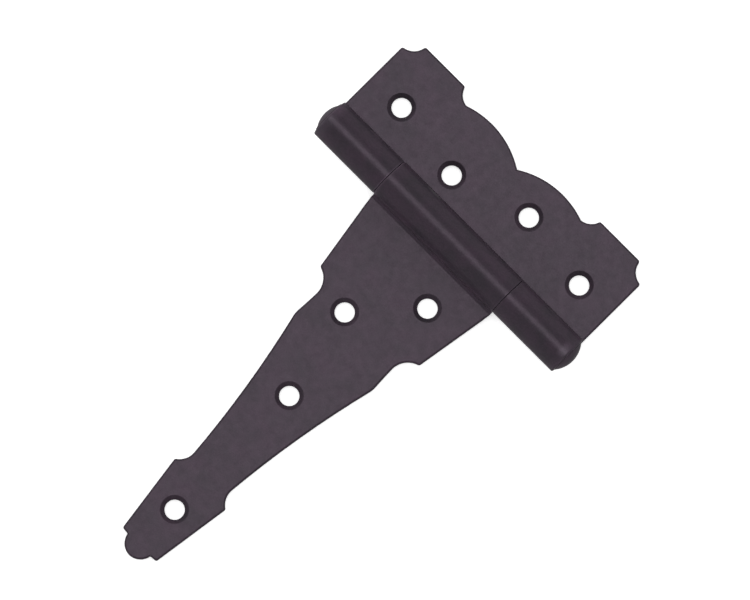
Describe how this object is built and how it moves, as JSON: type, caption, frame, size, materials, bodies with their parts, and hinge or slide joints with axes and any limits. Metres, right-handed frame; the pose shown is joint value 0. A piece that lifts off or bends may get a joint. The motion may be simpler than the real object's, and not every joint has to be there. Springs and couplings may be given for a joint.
{
  "type": "tee hinge",
  "caption": "Ornamental tee hinge: a short cross leaf and a long tapering strap, both of sheet rolled round one headed pin, with countersunk screw holes.",
  "frame": {"origin": "middle of the pin's axis between the outer faces of the butt leaf, dropped onto the plane of both leaves' backs", "axes": "+X along the pin towards its factory head, +Y from the pin across the butt leaf, -Y along the strap, +Z out of the front"},
  "size_m": [0.0792, 0.1285, 0.01],
  "materials": {
    "black_powder_coat": "fine semi-matte black powder coat with a faint purple cast",
    "coated_pin": "the same semi-matte black coat over the pin's hammered ends"
  },
  "bodies": {
    "butt": {"butt_leaf": "black_powder_coat", "hinge_pin": "coated_pin"},
    "strap": {"strap_leaf": "black_powder_coat"}
  },
  "joints": [
    {"name": "strap_swing", "type": "hinge", "parent": "butt", "child": "strap", "pos_m": [0, 0, 0.005], "axis": [-1, 0, 0], "range_deg": [-90, 192]}
  ]
}
